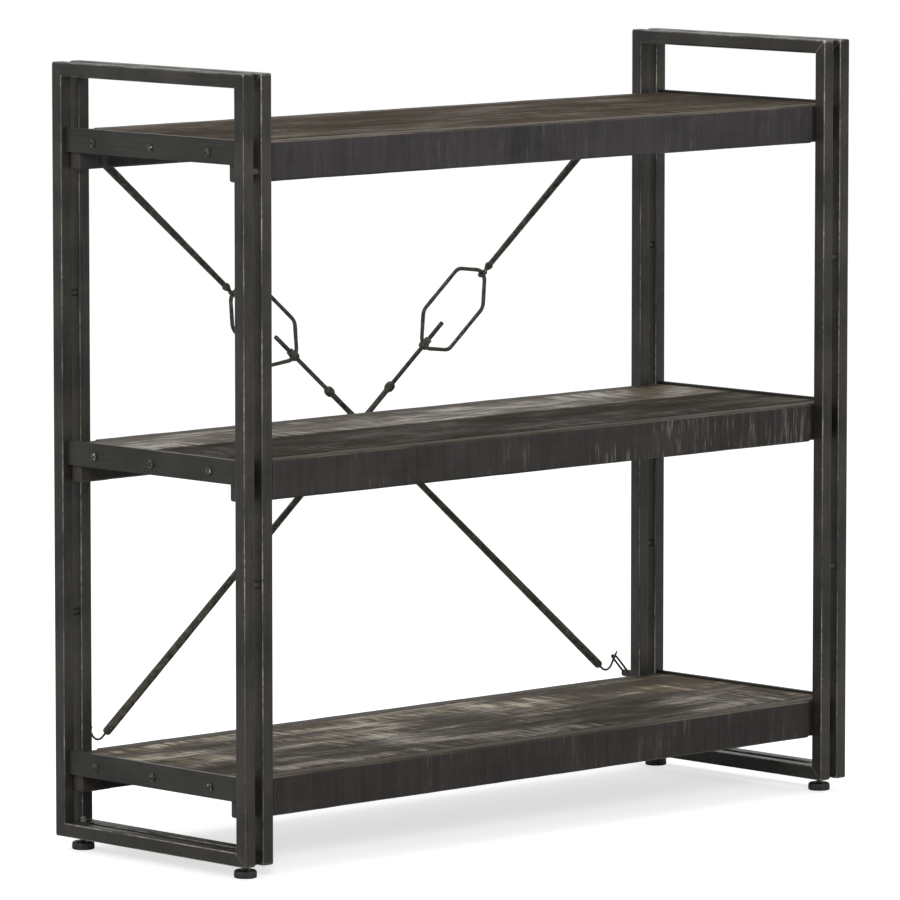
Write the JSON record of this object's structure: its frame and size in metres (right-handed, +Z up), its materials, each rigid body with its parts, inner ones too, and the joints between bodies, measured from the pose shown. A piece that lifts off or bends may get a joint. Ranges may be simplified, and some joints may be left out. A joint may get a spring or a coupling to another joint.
{
  "type": "bookcase",
  "caption": "Low open bookcase: twin-tube steel end frames, hollow timber plank shelves screwed to side rails, hooked tie rods crossing behind, and screw levelling feet.",
  "frame": {"origin": "on the floor, under the middle of the whole object, tie rods included", "axes": "X left to right across the front, Y from the front to the back, Z up"},
  "size_m": [0.9, 0.3183, 0.835],
  "materials": {
    "black_steel": "black finish over mild steel, satin, rubbed bright on the arrises",
    "rail_steel": "black finish over hot-rolled flat bar, satin, scuffed",
    "worn_steel": "bare steel, worn",
    "screw_steel": "blackened steel rubbed back",
    "rod_steel": "dark waxed steel, satin",
    "wire_steel": "dark steel wire, satin",
    "stud_steel": "zinc-plated thread",
    "pad_plastic": "moulded, matt",
    "apron_timber": "charcoal-stained, sawn face, waxed",
    "plank_timber": "grey-brown stained old boards, worn grain, waxed",
    "batten_timber": "plain sawn timber, unfinished"
  },
  "bodies": {
    "frame": {"left_outer_loop": "black_steel", "left_inner_loop": "black_steel", "right_inner_loop": "black_steel", "right_outer_loop": "black_steel", "left_loop_spacers": "worn_steel", "right_loop_spacers": "worn_steel", "foot_blocks": "black_steel", "bottom_left_rail": "rail_steel", "bottom_right_rail": "rail_steel", "middle_left_rail": "rail_steel", "middle_right_rail": "rail_steel", "top_left_rail": "rail_steel", "top_right_rail": "rail_steel", "bottom_front_apron": "apron_timber", "bottom_rear_apron": "apron_timber", "bottom_front_plank": "plank_timber", "bottom_rear_plank": "plank_timber", "bottom_battens": "batten_timber", "bottom_rail_screws": "screw_steel", "middle_front_apron": "apron_timber", "middle_rear_apron": "apron_timber", "middle_front_plank": "plank_timber", "middle_rear_plank": "plank_timber", "middle_battens": "batten_timber", "middle_rail_screws": "screw_steel", "top_front_apron": "apron_timber", "top_rear_apron": "apron_timber", "top_front_plank": "plank_timber", "top_rear_plank": "plank_timber", "top_battens": "batten_timber", "top_rail_screws": "screw_steel", "left_post_eyes": "wire_steel", "left_upper_rod": "rod_steel", "left_upper_hook": "wire_steel", "left_link": "rod_steel", "right_post_eyes": "wire_steel", "right_upper_rod": "rod_steel", "right_upper_hook": "wire_steel", "right_link": "rod_steel"},
    "front_left_stud": {"front_left_stud": "stud_steel"},
    "front_left_pad": {"front_left_pad": "pad_plastic"},
    "front_right_stud": {"front_right_stud": "stud_steel"},
    "front_right_pad": {"front_right_pad": "pad_plastic"},
    "rear_left_stud": {"rear_left_stud": "stud_steel"},
    "rear_left_pad": {"rear_left_pad": "pad_plastic"},
    "rear_right_stud": {"rear_right_stud": "stud_steel"},
    "rear_right_pad": {"rear_right_pad": "pad_plastic"},
    "left_lower_rod": {"left_lower_rod": "rod_steel", "left_lower_hook": "wire_steel"},
    "left_nut": {"left_nut": "worn_steel"},
    "right_lower_rod": {"right_lower_rod": "rod_steel", "right_lower_hook": "wire_steel"},
    "right_nut": {"right_nut": "worn_steel"}
  },
  "joints": [
    {"name": "front_left_foot_height", "type": "slide", "parent": "frame", "child": "front_left_stud", "axis": [0, 0, 1], "range_m": [-0.006, 0.005]},
    {"name": "front_left_foot_turn", "type": "hinge", "parent": "front_left_stud", "child": "front_left_pad", "pos_m": [-0.43, -0.13695, 0], "axis": [0, 0, 1], "range_deg": [-2161, 1801]},
    {"name": "front_right_foot_height", "type": "slide", "parent": "frame", "child": "front_right_stud", "axis": [0, 0, 1], "range_m": [-0.006, 0.005]},
    {"name": "front_right_foot_turn", "type": "hinge", "parent": "front_right_stud", "child": "front_right_pad", "pos_m": [0.43, -0.13695, 0], "axis": [0, 0, 1], "range_deg": [-2161, 1801]},
    {"name": "rear_left_foot_height", "type": "slide", "parent": "frame", "child": "rear_left_stud", "axis": [0, 0, 1], "range_m": [-0.006, 0.005]},
    {"name": "rear_left_foot_turn", "type": "hinge", "parent": "rear_left_stud", "child": "rear_left_pad", "pos_m": [-0.43, 0.11905, 0], "axis": [0, 0, 1], "range_deg": [-2161, 1801]},
    {"name": "rear_right_foot_height", "type": "slide", "parent": "frame", "child": "rear_right_stud", "axis": [0, 0, 1], "range_m": [-0.006, 0.005]},
    {"name": "rear_right_foot_turn", "type": "hinge", "parent": "rear_right_stud", "child": "rear_right_pad", "pos_m": [0.43, 0.11905, 0], "axis": [0, 0, 1], "range_deg": [-2161, 1801]},
    {"name": "left_rod_take_up", "type": "slide", "parent": "frame", "child": "left_lower_rod", "axis": [-0.7727, 0, 0.6348], "range_m": [-0.006, 0]},
    {"name": "left_nut_turn", "type": "hinge", "parent": "frame", "child": "left_nut", "pos_m": [0, 0.15355, 0.4225], "axis": [-0.7727, 0, 0.6348], "range_deg": [0, 2701]},
    {"name": "right_rod_take_up", "type": "slide", "parent": "frame", "child": "right_lower_rod", "axis": [0.7727, 0, 0.6348], "range_m": [-0.006, 0]},
    {"name": "right_nut_turn", "type": "hinge", "parent": "frame", "child": "right_nut", "pos_m": [0, 0.14655, 0.4225], "axis": [0.7727, 0, 0.6348], "range_deg": [0, 2701]}
  ],
  "couplings": [
    {"joint": "front_left_foot_turn", "follows": "front_left_foot_height", "rad_per_m": 6283.2},
    {"joint": "front_right_foot_turn", "follows": "front_right_foot_height", "rad_per_m": 6283.2},
    {"joint": "rear_left_foot_turn", "follows": "rear_left_foot_height", "rad_per_m": 6283.2},
    {"joint": "rear_right_foot_turn", "follows": "rear_right_foot_height", "rad_per_m": 6283.2},
    {"joint": "left_nut_turn", "follows": "left_rod_take_up", "rad_per_m": -7854},
    {"joint": "right_nut_turn", "follows": "right_rod_take_up", "rad_per_m": -7854}
  ]
}
